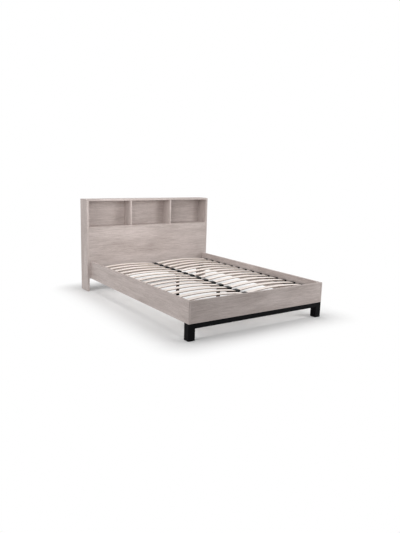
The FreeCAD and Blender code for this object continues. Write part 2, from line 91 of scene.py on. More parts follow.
STEEL_NODES = (
    "foot_leg_left",
    "foot_leg_right",
    "foot_crossbar",
    "slat_ledge_left",
    "slat_ledge_right",
    "centre_rail",
    "centre_rail_cups",
    "centre_leg_head",
    "centre_leg_foot",
    "head_corner_brackets",
)
TIMBER_NODES = ("foot_corner_blocks", "panel_dowels")
SLAT_NODES = tuple(sorted(name for name in nodes if name.startswith(("slat_left_", "slat_right_"))))

# --- Modelling: distances in metres, and how many steps a rounded edge has ---
NEAR = 1e-6
SMOOTH_ANGLE = math.radians(35)
HALF_TURN = Matrix.Rotation(math.pi, 4, "Z")
SMALL_ROUND_STEPS = 2
EDGE_ROUND_STEPS = 3
HEAD_ROUND_STEPS = 4
CORNER_ROUND_STEPS = 5

# --- The slat holders, in metres ---
SLAT_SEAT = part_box("slat_ledge_right")[1].z
SLAT_LOW, SLAT_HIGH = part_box("slat_right_01")
HOLDER_LIP_LENGTH = 0.0030
HOLDER_LIP_RISE = 0.0008
HOLDER_LIP_ROUND = 0.0004
HOLDER_CORNER_ROUND = 0.0045
HOLDER_TOP_ROUND = 0.0016
HOLDER_OVERLAP = 0.0004
RIB_WIDTH = 0.0018
RIB_RISE = 0.0005
RIB_SPACING = 0.0090
RIB_COUNT = 5
RIB_MARGIN = 0.0040
GROOVE_WIDTH = 0.0030
GROOVE_DEPTH = 0.0009
POCKET_CLEARANCE = 0.0004
POCKET_REACH = 0.040
SLAT_EDGE_ROUND = 0.0022
PEG_RADIUS = 0.0034
PEG_TIP_ROUND = 0.0010
PEG_OFFSET = 0.015
PEG_SIDES = 16

# --- The screws and bolts, in metres and as shares of the head's height or radius ---
SCREW_HEAD_HEIGHT = 0.0022
SCREW_SHANK_RADIUS = 0.0019
SCREW_TIP_LENGTH = 0.0030
SCREW_TIP_SHARE = 0.12
CROSS_LENGTH = 0.0046
CROSS_WIDTH = 0.0010
CROSS_DEPTH = 0.0012
THIN_BOLT_HEAD_RADIUS = 0.0055
THIN_BOLT_HEAD_HEIGHT = 0.0033
THICK_BOLT_HEAD_HEIGHT = 0.0080
HEAD_RADIUS_SLACK = 0.0001
HEAD_SIDES = 32
SHANK_SIDES = 16
SOCKET_SIDES = 6
SHANK_SHARE = 0.54
SHANK_ROUND_SHARE = 0.25
SOCKET_SHARE = 0.42
HEAD_ROUND_SHARE = 0.40
RADIUS_DIGITS = 5
LENGTH_DIGITS = 4

# --- The finishes. A size is a length and a width in metres, a range is where a pattern starts to show and
# where it shows in full, a weight is how much it counts, and a relief is its strength and its depth. ---
HALF = 0.5
NOISE_MIDDLE = 0.5
NOISE_ROUGHNESS = 0.5
DETAIL_LOW = 1.0
DETAIL_MIDDLE = 2.0
DETAIL_HIGH = 3.0
BLOTCH_RANGE = (0.35, 0.7)

END_FACING = 0.7
BOARD_SHIFT = 3.7
PATCH_SIZE = (0.45, 0.09)
PATCH_WEIGHT = 1.20
STREAK_WEIGHT = 1.15
OAK_FIBRE_SIZE = (0.045, 0.0022)
OAK_FIBRE_WEIGHT = 1.20
WANDER_SIZE = (0.5, 0.12)
WANDER_RISE = 0.13
RING_WEIGHT = 0.10
PORE_RANGE = (0.58, 0.70)
PORE_OUTSIDE_RINGS = 1.6
PORE_DARKNESS = 0.42
OAK_ROUGHNESS = 0.56
PORE_ROUGHNESS = 0.25
STREAK_POLISH = 0.08
OAK_SPECULAR = 0.22
OAK_RELIEF = (0.35, 0.0002)

PLIES = 6
FACE_PLY = 0.0006
ROW_SHIFT = 3.1
SIDE_SHIFT = 5.0
BIRCH_GRAIN_SIZE = (0.22, 0.009)
BIRCH_GRAIN_RANGE = (0.42, 0.72)
BIRCH_GRAIN_WEIGHT = 0.40
BIRCH_FIBRE_SIZE = (0.03, 0.0012)
BIRCH_FIBRE_RANGE = (0.45, 0.75)
BIRCH_FIBRE_WEIGHT = 0.20
SLAT_TONE_WEIGHT = 0.22
EDGE_FACING = 0.55
CROSS_PLY_LIMIT = 0.25
CROSS_PLY_WEIGHT = 0.30
GLUE_RANGE = (0.36, 0.47)
GLUE_WEIGHT = 0.5
GLUE_SINK = 0.6
BIRCH_ROUGHNESS = 0.44
BIRCH_FIBRE_ROUGHNESS = 0.14
BIRCH_SPECULAR = 0.35
BIRCH_RELIEF = (0.15, 0.00015)

PEEL_LUMP = 0.0016
CLOUD_LUMP = 0.09
COAT_PALER = 1.7
COAT_ROUGHNESS = 0.40
CLOUD_ROUGHNESS = 0.16
COAT_SPECULAR = 0.05
COAT_RELIEF = (0.12, 0.0001)

CAP_GRAIN_LUMP = 0.0007
GLIDE_GRAIN_LUMP = 0.0010
HAZE_LUMP = 0.02
PLASTIC_PALER = 1.6
PLASTIC_ROUGHNESS = 0.28
HAZE_ROUGHNESS = 0.2
PLASTIC_SPECULAR = 0.16
PLASTIC_RELIEF = (0.10, 0.00008)

DULL_LUMP = 0.004
ZINC_DARKER = 0.72
ZINC_ROUGHNESS = 0.26
DULL_ROUGHNESS = 0.2
ZINC_RELIEF = (0.05, 0.0001)

TIMBER_GRAIN_SIZE = (0.06, 0.003)
TIMBER_GRAIN_WEIGHT = 0.5
FLECK_SIZE = (0.004, 0.0008)
FLECK_RANGE = (0.58, 0.7)
FLECK_WEIGHT = 0.4
TIMBER_DARKER = 0.62
TIMBER_ROUGHNESS = 0.62
TIMBER_SPECULAR = 0.3
TIMBER_RELIEF = (0.2, 0.0002)

# --- The floor, in metres. Its glow is the share of plain white in what the camera sees of it, which is all
# past the shadow's reach. ---
WHITE = (1.0, 1.0, 1.0, 1.0)
FLOOR_SIZE = 60.0
FLOOR_WHITE = 0.90
FLOOR_ROUGHNESS = 0.9
FLOOR_GLOW = 0.10
SHADOW_EDGE = 0.02
SHADOW_REACH = 0.38
# Painted light: the share of plain white on the floor under the slats, which lightens the bed's shadow
# there.
UNDER_SLATS_PAINTED_LIGHT = 0.70
INNER_EDGE = 0.15
INNER_FOOT = 0.35
INNER_SOFTNESS = 0.30

# --- The light. Each lamp has a name, its place, the point it looks at, its size and its power in watts. ---
WORLD_LIGHT = 0.24
LAMPS = (
    ("overhead_softbox", Vector((0.2, 0.1, 3.4)), Vector((0.0, 0.1, 0.3)), 3.0, 52.0),
    ("left_softbox", Vector((-4.2, -0.6, 2.2)), Vector((-0.4, 0.0, 0.4)), 2.2, 62.0),
    ("left_back_softbox", Vector((-3.8, 1.8, 1.9)), Vector((-0.8, 0.6, 0.6)), 1.8, 17.0),
    ("headboard_left_softbox", Vector((-0.9, -0.1, 1.3)), Vector((0.6, 1.1, 0.9)), 0.6, 3.4),
    ("headboard_middle_softbox", Vector((-0.5, 0.2, 1.15)), Vector((0.8, 1.05, 0.95)), 0.4, 2.5),
    ("headboard_right_softbox", Vector((0.9, -0.9, 1.7)), Vector((0.1, 1.1, 0.8)), 1.2, 7.0),
    ("right_front_softbox", Vector((2.6, -3.0, 1.2)), Vector((0.6, -1.0, 0.3)), 1.4, 47.0),
    ("back_softbox", Vector((1.2, 5.0, 2.4)), Vector((0.0, 1.1, 0.5)), 2.2, 40.0),
)
# A mirror image of this lamp would cover the top board where it is seen at a grazing angle.
LAMPS_WITHOUT_SHINE = ("back_softbox",)


# --- Colours ---


def paint(red, green, blue):
    """An 8-bit screen colour as the linear colour that shaders use, by the sRGB curve."""
    linear = []
    for part in (red, green, blue):
        share = part / 255
        linear.append(share / 12.92 if share <= 0.04045 else ((share + 0.055) / 1.055) ** 2.4)
    return tuple(linear)


def toned(colour, factor):
    """A colour made paler or darker."""
    return tuple(part * factor for part in colour)


# --- Shader maths ---


class Amount:
    """A shader socket that takes part in Python sums, adding its Math nodes."""

    def __init__(self, shading, socket):
        self.shading = shading
        self.socket = socket

    def maths(self, operation, *others):
        return self.shading.maths(operation, self, *others)

    def __add__(self, other):
        return self.maths("ADD", other)

    def __sub__(self, other):
        return self.maths("SUBTRACT", other)

    def __rsub__(self, other):
        return self.shading.maths("SUBTRACT", other, self)

    def __mul__(self, other):
        return self.maths("MULTIPLY", other)

    def __truediv__(self, other):
        return self.maths("DIVIDE", other)

    def __gt__(self, other):
        return self.maths("GREATER_THAN", other)

    def __abs__(self):
        return self.maths("ABSOLUTE")

    def sine(self):
        return self.maths("SINE")

    def root(self):
        return self.maths("SQRT")

    def floor(self):
        return self.maths("FLOOR")

    def fraction(self):
        return self.maths("FRACT")

    def larger(self, other):
        return self.maths("MAXIMUM", other)

    def rise(self, low, high):
        """0 below low and 1 above high, with a smooth step between."""
        ramp = self.shading.node(
            "ShaderNodeMapRange",
            {"interpolation_type": "SMOOTHSTEP"},
            {"Value": self, "From Min": low, "From Max": high},
        )
        return Amount(self.shading, ramp.outputs["Result"])


def choose(share, first, second):
    """The first amount at share 0 and the second at share 1."""
    return first * (1 - share) + second * share


class Shading:
    """A node tree, with short ways to fill it."""

    def __init__(self, tree):
        self.tree = tree

    def node(self, kind, settings=None, inputs=None):
        made = self.tree.nodes.new(kind)
        for key, value in (settings or {}).items():
            setattr(made, key, value)
        for key, value in (inputs or {}).items():
            self.feed(made, key, value)
        return made

    def feed(self, node, key, value):
        """Sets or links a socket, found by its number, its identifier or its name."""
        if isinstance(key, int):
            socket = node.inputs[key]
        else:
            socket = next(s for s in node.inputs if key in (s.identifier, s.name))
        if isinstance(value, Amount):
            self.tree.links.new(value.socket, socket)
        else:
            socket.default_value = value

    def maths(self, operation, *values):
        made = self.node("ShaderNodeMath", {"operation": operation}, dict(enumerate(values)))
        return Amount(self, made.outputs[0])

    def seen_directly(self):
        """1 for rays from the camera and for those that show it a reflection."""
        path = self.node("ShaderNodeLightPath")
        seen = Amount(self, path.outputs["Is Camera Ray"])
        for name in ("Is Glossy Ray", "Is Transmission Ray"):
            seen = seen.larger(Amount(self, path.outputs[name]))
        return seen

    def mix_shaders(self, share, first, second, output):
        """Gives the output the first shader at share 0 and the second at share 1."""
        shaders = {1: Amount(self, first.outputs[0]), 2: Amount(self, second.outputs[0])}
        mix = self.node("ShaderNodeMixShader", None, {0: share, **shaders})
        self.feed(output, "Surface", Amount(self, mix.outputs[0]))


class Finish(Shading):
    """One procedural material and the nodes that make it."""

    def __init__(self, name):
        self.material = bpy.data.materials.new(name)
        self.material.use_nodes = True
        super().__init__(self.material.node_tree)
        self.shader = self.tree.nodes["Principled BSDF"]
        self.coordinates = self.node("ShaderNodeTexCoord")

    def split(self, name):
        """X, Y and Z of one kind of texture coordinate."""
        parts = self.node("ShaderNodeSeparateXYZ", None, {0: Amount(self, self.coordinates.outputs[name])})
        return tuple(Amount(self, parts.outputs[axis]) for axis in "XYZ")

    def combined(self, x, y, z=0.0):
        """Three amounts as one vector."""
        place = self.node("ShaderNodeCombineXYZ", None, {"X": x, "Y": y, "Z": z})
        return Amount(self, place.outputs[0])

    def object_place(self):
        """X, Y and Z of the point in the object's own metres."""
        return self.split("Object")

    def facing(self):
        """How far the surface faces along X, Y and Z, whichever way."""
        return tuple(abs(part) for part in self.split("Normal"))

    def noise(self, x, y, z, detail):
        """Noise from about 0.3 to 0.7, whose lumps are one unit across."""
        made = self.node(
            "ShaderNodeTexNoise",
            {"noise_dimensions": "3D"},
            {"Vector": self.combined(x, y, z), "Scale": 1.0, "Detail": detail, "Roughness": NOISE_ROUGHNESS},
        )
        return Amount(self, made.outputs[0])

    def lumps(self, place, size, detail=DETAIL_MIDDLE):
        """Noise whose lumps have one size in metres, all ways."""
        return self.noise(*(part / size for part in place), detail)

    def streaks(self, place, length, width, detail=DETAIL_MIDDLE):
        """Noise drawn out along the first of the place's three ways, sizes in metres."""
        along, across, depth = place
        return self.noise(along / length, across / width, depth / width, detail)

    def chance(self, x, y):
        """A steady random share for each pair of whole numbers."""
        made = self.node(
            "ShaderNodeTexWhiteNoise", {"noise_dimensions": "3D"}, {"Vector": self.combined(x, y)})
        return Amount(self, made.outputs["Value"])

    def blend(self, share, first, second):
        """The first colour at share 0 and the second at share 1."""
        made = self.node(
            "ShaderNodeMix",
            {"data_type": "RGBA"},
            {"Factor_Float": share, "A_Color": self.opaque(first), "B_Color": self.opaque(second)},
        )
        result = next(s for s in made.outputs if s.identifier == "Result_Color")
        return Amount(self, result)

    @staticmethod
    def opaque(colour):
        return colour if isinstance(colour, Amount) else (*colour, 1.0)

    def surface(self, colour, roughness, metallic=0.0, specular=0.5):
        self.feed(self.shader, "Base Color", self.opaque(colour))
        self.feed(self.shader, "Roughness", roughness)
        self.feed(self.shader, "Metallic", metallic)
        self.feed(self.shader, "Specular IOR Level", specular)

    def relief(self, height, strength, depth):
        bump = self.node("ShaderNodeBump", None, {"Strength": strength, "Distance": depth, "Height": height})
        self.feed(self.shader, "Normal", Amount(self, bump.outputs["Normal"]))


def dress(names, finish):
    """Gives CAD nodes a finish through their material slots."""
    for name in names:
        piece = nodes[name]
        if not piece.material_slots:
            piece.data.materials.append(None)
        for slot in piece.material_slots:
            slot.material = finish.material


# --- Modelling, as by hand ---


def select_only(*pieces):
    bpy.ops.object.select_all(action="DESELECT")
    for piece in pieces:
        piece.select_set(True)
    bpy.context.view_layer.objects.active = pieces[0]


def settle(piece):
    """Moves a piece's place, turn and size into its mesh."""
    select_only(piece)
    bpy.ops.object.transform_apply(location=True, rotation=True, scale=True)


@contextlib.contextmanager
def shaping(piece):
    """Edit mode on one piece."""
    select_only(piece)
    bpy.ops.object.mode_set(mode="EDIT")
    yield
    bpy.ops.object.mode_set(mode="OBJECT")


def pick(mode, test):
    """Selects the EDGE or FACE items that pass the test, in edit mode."""
    bpy.ops.mesh.select_mode(type=mode)
    bpy.ops.mesh.select_all(action="DESELECT")
    mesh = bpy.context.object.data
    shape = bmesh.from_edit_mesh(mesh)
    for item in shape.edges if mode == "EDGE" else shape.faces:
        if test(item):
            item.select_set(True)
    shape.select_flush_mode()
    bmesh.update_edit_mesh(mesh)


def add_block(low, high):
    """A block between two opposite corners."""
    bpy.ops.object.select_all(action="DESELECT")
    low, high = Vector(low), Vector(high)
    bpy.ops.mesh.primitive_cube_add(size=1, location=(low + high) / 2, scale=high - low)
    block = bpy.context.object
    settle(block)
    return block


def add_rod(foot, radius, length, sides):
    """An upright rod that stands on its foot point."""
    bpy.ops.object.select_all(action="DESELECT")
    middle = Vector(foot) + Vector((0, 0, length / 2))
    bpy.ops.mesh.primitive_cylinder_add(vertices=sides, radius=radius, depth=length, location=middle)
    rod = bpy.context.object
    settle(rod)
    return rod


def runs_along(edge, axis):
    """Whether an edge is parallel to an axis."""
    way = edge.verts[1].co - edge.verts[0].co
    return abs(way[axis]) > (1 - NEAR) * way.length


def lies_at(item, axis, value):
    """Whether all of an edge or a face lies in one plane across an axis."""
    return all(abs(corner.co[axis] - value) < NEAR for corner in item.verts)


def round_off(piece, size, steps, test):
    """Rounds the edges that pass the test."""
    with shaping(piece):
        pick("EDGE", test)
        bpy.ops.mesh.bevel(offset=size, offset_type="OFFSET", segments=steps, affect="EDGES")


def combine(piece, tool, operation):
    """Adds the tool to the piece or cuts it away, and leaves no tool."""
    cutter = piece.modifiers.new(operation.lower(), "BOOLEAN")
    cutter.operation = operation
    cutter.solver = "EXACT"
    cutter.object = tool
    select_only(piece)
    bpy.ops.object.modifier_apply(modifier=cutter.name)
    bpy.data.objects.remove(tool)


def copied(piece, place):
    """A copy with its own mesh, put in its place."""
    select_only(piece)
    bpy.ops.object.duplicate(linked=False)
    copy = bpy.context.object
    copy.matrix_world = place @ copy.matrix_world
    settle(copy)
    return copy


def join_as(name, parts, finish, node):
    """Joins the parts as one piece, which rides on the bed and stands for the CAD node."""
    select_only(*parts)
    bpy.ops.object.join()
    piece = bpy.context.object
    piece.name = name
    piece.data.name = name
    bpy.ops.object.shade_smooth_by_angle(angle=SMOOTH_ANGLE)
    piece.data.materials.clear()
    piece.data.materials.append(finish.material)
    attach(piece, "root")
    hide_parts(node)


def solids_in(node):
    """The points of each separate solid of a CAD node."""
    shape = bmesh.new()
    shape.from_mesh(nodes[node].data)
    bmesh.ops.remove_doubles(shape, verts=shape.verts, dist=NEAR)
    seen = set()
    solids = []
    for start in shape.verts:
        if start in seen:
            continue
        seen.add(start)
        front = [start]
        points = []
        while front:
            corner = front.pop()
            points.append(corner.co.copy())
            for edge in corner.link_edges:
                other = edge.other_vert(corner)
                if other not in seen:
                    seen.add(other)
                    front.append(other)
        solids.append(points)
    shape.free()
    return solids


def box_of(points):
    """The lowest and the highest corner of the box round the points."""
    low = Vector(min(point[axis] for point in points) for axis in range(3))
    high = Vector(max(point[axis] for point in points) for axis in range(3))
    return low, high


# --- Properties ---


def colour_setting(name, description, *levels):
    """A colour that starts at 8-bit screen levels of red, green and blue."""
    return bpy.props.FloatVectorProperty(
        name=name, description=description, subtype="COLOR", default=paint(*levels))


def length_setting(name, description, metres):
    """A length that starts at so many metres."""
    return bpy.props.FloatProperty(name=name, description=description, unit="LENGTH", default=metres)


class BedColours(bpy.types.PropertyGroup):
    """Colours that a user would change."""

    oak_light: colour_setting("Oak, light", "Pale streaks of the laminate", 202, 191, 187)
    oak_dark: colour_setting("Oak, dark", "Dark streaks of the laminate", 163, 151, 146)
    oak_pore: colour_setting("Oak, pore", "Pores of the laminate", 132, 118, 112)
    birch: colour_setting("Birch", "Face veneer of the slats", 238, 230, 225)
    birch_streak: colour_setting("Birch streak", "Darker streaks of the veneer", 220, 204, 192)
    # Painted shade: this edge layer colour is darker than the ply's own, to stand for the shade on the
    # slats' edges.
    birch_layer_and_painted_shade: colour_setting("Birch layer", "Layers in the slats' edges", 166, 147, 134)
    birch_glue: colour_setting("Birch glue", "Glue lines in the slats' edges", 118, 95, 80)
    steel: colour_setting("Steel", "Powder coat of the legs and rails", 7, 7, 9)
    plastic: colour_setting("Plastic", "Slat holders and plugs", 13, 13, 14)
    zinc: colour_setting("Zinc", "Screws, bolts and cams", 205, 205, 200)
    timber: colour_setting("Timber", "Blocks and dowels", 206, 178, 145)
    glide: colour_setting("Glide", "Plastic glides under the gables", 132, 128, 124)


class BedSizes(bpy.types.PropertyGroup):
    """Sizes of the grain and layers that a user would change."""

    streak_length: length_setting("Streak length", "Length of a tone streak along the grain", 0.16)
    streak_width: length_setting("Streak width", "Width of a tone streak across the grain", 0.013)
    ring_width: length_setting("Ring width", "Distance between growth rings", 0.007)
    pore_length: length_setting("Pore length", "Length of an oak pore", 0.016)
    pore_width: length_setting("Pore width", "Width of an oak pore", 0.0008)
    slat_thickness: length_setting("Slat thickness", "Thickness of a slat", 0.008)
    slat_pitch: length_setting("Slat pitch", "Distance from one slat to the next", 0.130)


# --- Finishes ---


def slat_arch():
    """The half length of a slat's arch and its radius, to the outer face of the slat."""
    half_chord = (SLAT_HIGH.x - SLAT_LOW.x) / 2
    bow = SLAT_HIGH.z - SLAT_LOW.z - bpy.context.scene.bed_sizes.slat_thickness
    return half_chord, (half_chord ** 2 + bow ** 2) / (2 * bow)


def oak_laminate(name, grain, seed):
    """Grey oak print: soft streaks, fibres, growth rings and fine pores that stand in relief."""
    colours = bpy.context.scene.bed_colours
    sizes = bpy.context.scene.bed_sizes
    finish = Finish(name)
    place = finish.object_place()
    facing = finish.facing()
    grain_number = "XYZ".index(grain)
    first, second = (number for number in range(3) if number != grain_number)
    # On an end face the edging's own grain runs along the board's edge.
    at_end = facing[grain_number] > END_FACING
    along = choose(at_end, place[grain_number], place[second]) + seed * BOARD_SHIFT
    across = choose(at_end, place[first], place[grain_number]) + seed * BOARD_SHIFT
    depth = choose(at_end, place[second], place[first])
    run = (along, across, depth)

    streak = finish.streaks(run, sizes.streak_length, sizes.streak_width, DETAIL_HIGH)
    patch = finish.streaks(run, *PATCH_SIZE)
    fibre = finish.streaks(run, *OAK_FIBRE_SIZE, DETAIL_HIGH)
    wander = finish.streaks(run, *WANDER_SIZE, DETAIL_LOW)
    ring = ((across + depth + wander * WANDER_RISE) / sizes.ring_width * math.pi).sine()
    pore = finish.streaks(run, sizes.pore_length, sizes.pore_width)

    tone = (streak - NOISE_MIDDLE) * STREAK_WEIGHT + (patch - NOISE_MIDDLE) * PATCH_WEIGHT + HALF
    tone = tone + (fibre - NOISE_MIDDLE) * OAK_FIBRE_WEIGHT + ring * RING_WEIGHT
    colour = finish.blend(tone, colours.oak_dark, colours.oak_light)
    pore_mask = pore.rise(*PORE_RANGE) * (ring + PORE_OUTSIDE_RINGS) * PORE_DARKNESS
    colour = finish.blend(pore_mask, colour, colours.oak_pore)
    roughness = pore_mask * PORE_ROUGHNESS + OAK_ROUGHNESS - streak * STREAK_POLISH
    finish.surface(colour, roughness, specular=OAK_SPECULAR)
    finish.relief(1 - pore_mask, *OAK_RELIEF)
    return finish


def birch_slats():
    """Pale rotary-cut birch with layered edges whose colour also holds painted shade, each slat a little
    different.
    """
    colours = bpy.context.scene.bed_colours
    sizes = bpy.context.scene.bed_sizes
    finish = Finish("birch_slat")
    x, y, z = finish.object_place()
    middle = (SLAT_LOW.x + SLAT_HIGH.x) / 2
    radius = slat_arch()[1]
    offset = abs(x) - middle
    depth = SLAT_HIGH.z - z - offset * offset / (2 * radius)
    first_row = (SLAT_LOW.y + SLAT_HIGH.y) / 2
    row = ((first_row - y) / sizes.slat_pitch + HALF).floor()
    side = x > 0
    tone = finish.chance(row, side)
    run = (x + row * ROW_SHIFT, y + side * SIDE_SHIFT, depth)
    grain = finish.streaks(run, *BIRCH_GRAIN_SIZE, DETAIL_HIGH)
    fibre = finish.streaks(run, *BIRCH_FIBRE_SIZE)
    ply = depth / sizes.slat_thickness * PLIES
    inside = depth > FACE_PLY
    glue = abs(ply.fraction() - HALF).rise(*GLUE_RANGE)
    cross_ply = (ply.floor() * HALF).fraction() > CROSS_PLY_LIMIT

    shade = grain.rise(*BIRCH_GRAIN_RANGE) * BIRCH_GRAIN_WEIGHT + tone * SLAT_TONE_WEIGHT
    shade = shade + fibre.rise(*BIRCH_FIBRE_RANGE) * BIRCH_FIBRE_WEIGHT
    face = finish.blend(shade, colours.birch, colours.birch_streak)
    # Painted shade: the edges' layer colour is darker than the ply's own, for the shade the edges sit in.
    layering = cross_ply * CROSS_PLY_WEIGHT + glue * GLUE_WEIGHT
    edge = finish.blend(layering, colours.birch_layer_and_painted_shade, colours.birch_glue)
    side_on = finish.facing()[1] > EDGE_FACING
    colour = finish.blend(side_on * inside, face, edge)
    finish.surface(colour, fibre * BIRCH_FIBRE_ROUGHNESS + BIRCH_ROUGHNESS, specular=BIRCH_SPECULAR)
    finish.relief(fibre - glue * inside * GLUE_SINK, *BIRCH_RELIEF)
    return finish


def powder_coat():
    """Satin black powder coat with its fine orange peel."""
    finish = Finish("black_steel")
    place = finish.object_place()
    peel = finish.lumps(place, PEEL_LUMP, DETAIL_LOW)
    cloud = finish.lumps(place, CLOUD_LUMP)
    base = bpy.context.scene.bed_colours.steel
    colour = finish.blend(cloud.rise(*BLOTCH_RANGE), base, toned(base, COAT_PALER))
    finish.surface(colour, cloud * CLOUD_ROUGHNESS + COAT_ROUGHNESS, specular=COAT_SPECULAR)
    finish.relief(peel, *COAT_RELIEF)
    return finish


def moulded_plastic(name, base, grain_lump):
    """Moulded plastic with a fine spark-eroded grain."""
    finish = Finish(name)
    place = finish.object_place()
    grain = finish.lumps(place, grain_lump, DETAIL_LOW)
    haze = finish.lumps(place, HAZE_LUMP)
    colour = finish.blend(haze.rise(*BLOTCH_RANGE), base, toned(base, PLASTIC_PALER))
    finish.surface(colour, haze * HAZE_ROUGHNESS + PLASTIC_ROUGHNESS, specular=PLASTIC_SPECULAR)
    finish.relief(grain, *PLASTIC_RELIEF)
    return finish


def zinc_plate():
    """Bright zinc plate with uneven dulling."""
    finish = Finish("zinc_steel")
    dull = finish.lumps(finish.object_place(), DULL_LUMP, DETAIL_HIGH)
    base = bpy.context.scene.bed_colours.zinc
    colour = finish.blend(dull.rise(*BLOTCH_RANGE), base, toned(base, ZINC_DARKER))
    finish.surface(colour, dull * DULL_ROUGHNESS + ZINC_ROUGHNESS, metallic=1.0)
    finish.relief(dull, *ZINC_RELIEF)
    return finish


def plain_timber():
    """Unfinished beech with short flecks."""
    finish = Finish("plain_timber")
    x, y, z = finish.object_place()
    grain = finish.streaks((z, x, y), *TIMBER_GRAIN_SIZE, DETAIL_HIGH)
    fleck = finish.streaks((z, x, y), *FLECK_SIZE, DETAIL_LOW)
    base = bpy.context.scene.bed_colours.timber
    shade = grain.rise(*BLOTCH_RANGE) * TIMBER_GRAIN_WEIGHT + fleck.rise(*FLECK_RANGE) * FLECK_WEIGHT
    colour = finish.blend(shade, base, toned(base, TIMBER_DARKER))
    finish.surface(colour, TIMBER_ROUGHNESS, specular=TIMBER_SPECULAR)
    finish.relief(grain, *TIMBER_RELIEF)
    return finish


# --- Slat holders ---


def slat_end_cutter(end_x, way):
    """A bar that clears one end of a slat and slopes as the slat does.

    The slat ends at end_x. That is its right end where way is 1, and its left end where way is -1.
    """
    half_chord, radius = slat_arch()
    half_width = (SLAT_HIGH.y - SLAT_LOW.y) / 2 + POCKET_CLEARANCE
    half_height = bpy.context.scene.bed_sizes.slat_thickness / 2 + POCKET_CLEARANCE
    middle = SLAT_LOW.z + half_height - POCKET_CLEARANCE
    x_low, x_high = sorted((end_x + way * POCKET_CLEARANCE, end_x - way * POCKET_REACH))
    bar = add_block((x_low, -half_width, middle - half_height), (x_high, half_width, middle + half_height))
    round_off(bar, SLAT_EDGE_ROUND, EDGE_ROUND_STEPS, lambda edge: runs_along(edge, 0))
    pivot = Matrix.Translation((end_x, 0, middle))
    slope = math.asin((half_chord - HOLDER_CORNER_ROUND) / radius)
    bar.matrix_world = pivot @ Matrix.Rotation(way * slope, 4, "Y") @ pivot.inverted()
    settle(bar)
    return bar


def add_holder_body(x_low, x_high, half_width, top, mouths):
    """A cap's rounded body with a raised lip round each mouth.

    mouths has 1 for a mouth that looks along +X and -1 for one that looks along -X.
    """
    body_low = x_low + (HOLDER_LIP_LENGTH - HOLDER_OVERLAP if -1 in mouths else 0)
    body_high = x_high - (HOLDER_LIP_LENGTH - HOLDER_OVERLAP if 1 in mouths else 0)
    body_top = top - HOLDER_LIP_RISE
    body_side = half_width - HOLDER_LIP_RISE
    body = add_block((body_low, -body_side, SLAT_SEAT), (body_high, body_side, body_top))
    for way, x in ((-1, body_low), (1, body_high)):
        if way not in mouths:
            round_off(
                body, HOLDER_CORNER_ROUND, CORNER_ROUND_STEPS,
                lambda edge: runs_along(edge, 2) and lies_at(edge, 0, x))
    mouth_places = [body_low if way < 0 else body_high for way in mouths]
    round_off(
        body, HOLDER_TOP_ROUND, EDGE_ROUND_STEPS,
        lambda edge: lies_at(edge, 2, body_top) and not any(lies_at(edge, 0, x) for x in mouth_places))
    for way in mouths:
        lip_low = x_high - HOLDER_LIP_LENGTH if way > 0 else x_low
        lip_high = x_high if way > 0 else x_low + HOLDER_LIP_LENGTH
        lip = add_block((lip_low, -half_width, SLAT_SEAT), (lip_high, half_width, top))
        round_off(lip, HOLDER_LIP_ROUND, SMALL_ROUND_STEPS, lambda edge: not lies_at(edge, 2, SLAT_SEAT))
        combine(body, lip, "UNION")
    return body


def add_ribs(body, x_low, x_high, body_top):
    """Grip ribs along the cap's top."""
    rib_top = body_top + RIB_RISE
    for number in range(RIB_COUNT):
        y = (number - (RIB_COUNT - 1) / 2) * RIB_SPACING
        rib = add_block(
            (x_low, y - RIB_WIDTH / 2, body_top - HOLDER_TOP_ROUND),
            (x_high, y + RIB_WIDTH / 2, rib_top))
        round_off(rib, RIB_RISE / 2, SMALL_ROUND_STEPS, lambda edge: lies_at(edge, 2, rib_top))
        combine(body, rib, "UNION")


def add_pegs(body, x, peg_bottom):
    """The two round pegs that hold the cap in its rail or ledge."""
    length = SLAT_SEAT - peg_bottom + HOLDER_OVERLAP
    for y in (-PEG_OFFSET, PEG_OFFSET):
        peg = add_rod((x, y, peg_bottom), PEG_RADIUS, length, PEG_SIDES)
        round_off(peg, PEG_TIP_ROUND, SMALL_ROUND_STEPS, lambda edge: lies_at(edge, 2, peg_bottom))
        combine(body, peg, "UNION")


def side_holder(low, high):
    """The cap at a side rail, right-hand side, at Y 0."""
    half_width = (high.y - low.y) / 2
    body = add_holder_body(low.x, high.x, half_width, high.z, (-1,))
    combine(body, slat_end_cutter(SLAT_HIGH.x, 1), "DIFFERENCE")
    rib_ends = (low.x + HOLDER_LIP_LENGTH - HOLDER_OVERLAP, high.x - RIB_MARGIN)
    add_ribs(body, *rib_ends, high.z - HOLDER_LIP_RISE)
    add_pegs(body, (low.x + high.x) / 2, low.z)
    return body


def centre_holder(low, high):
    """The double cap over the centre rail, at Y 0."""
    half_width = (high.y - low.y) / 2
    body = add_holder_body(low.x, high.x, half_width, high.z, (-1, 1))
    for turn in (Matrix.Identity(4), HALF_TURN):
        cutter = slat_end_cutter(SLAT_LOW.x, -1)
        cutter.matrix_world = turn
        settle(cutter)
        combine(body, cutter, "DIFFERENCE")
    body_top = high.z - HOLDER_LIP_RISE
    lip_end = high.x - HOLDER_LIP_LENGTH + HOLDER_OVERLAP
    for ends in ((GROOVE_WIDTH, lip_end), (-lip_end, -GROOVE_WIDTH)):
        add_ribs(body, *ends, body_top)
    groove = add_block(
        (-GROOVE_WIDTH / 2, -half_width, body_top - GROOVE_DEPTH), (GROOVE_WIDTH / 2, half_width, high.z))
    combine(body, groove, "DIFFERENCE")
    add_pegs(body, 0.0, low.z)
    return body


# --- Screws and bolts ---


def add_head_and_shank(head_radius, head_height, shank_radius, length):
    """A rounded head whose top is at Z 0 on a shank that hangs from it."""
    head = add_rod((0, 0, -head_height), head_radius, head_height, HEAD_SIDES)
    round_size = min(head_height, head_radius) * HEAD_ROUND_SHARE
    round_off(head, round_size, HEAD_ROUND_STEPS, lambda edge: lies_at(edge, 2, 0.0))
    shank = add_rod((0, 0, -length), shank_radius, length - head_height / 2, SHANK_SIDES)
    return head, shank


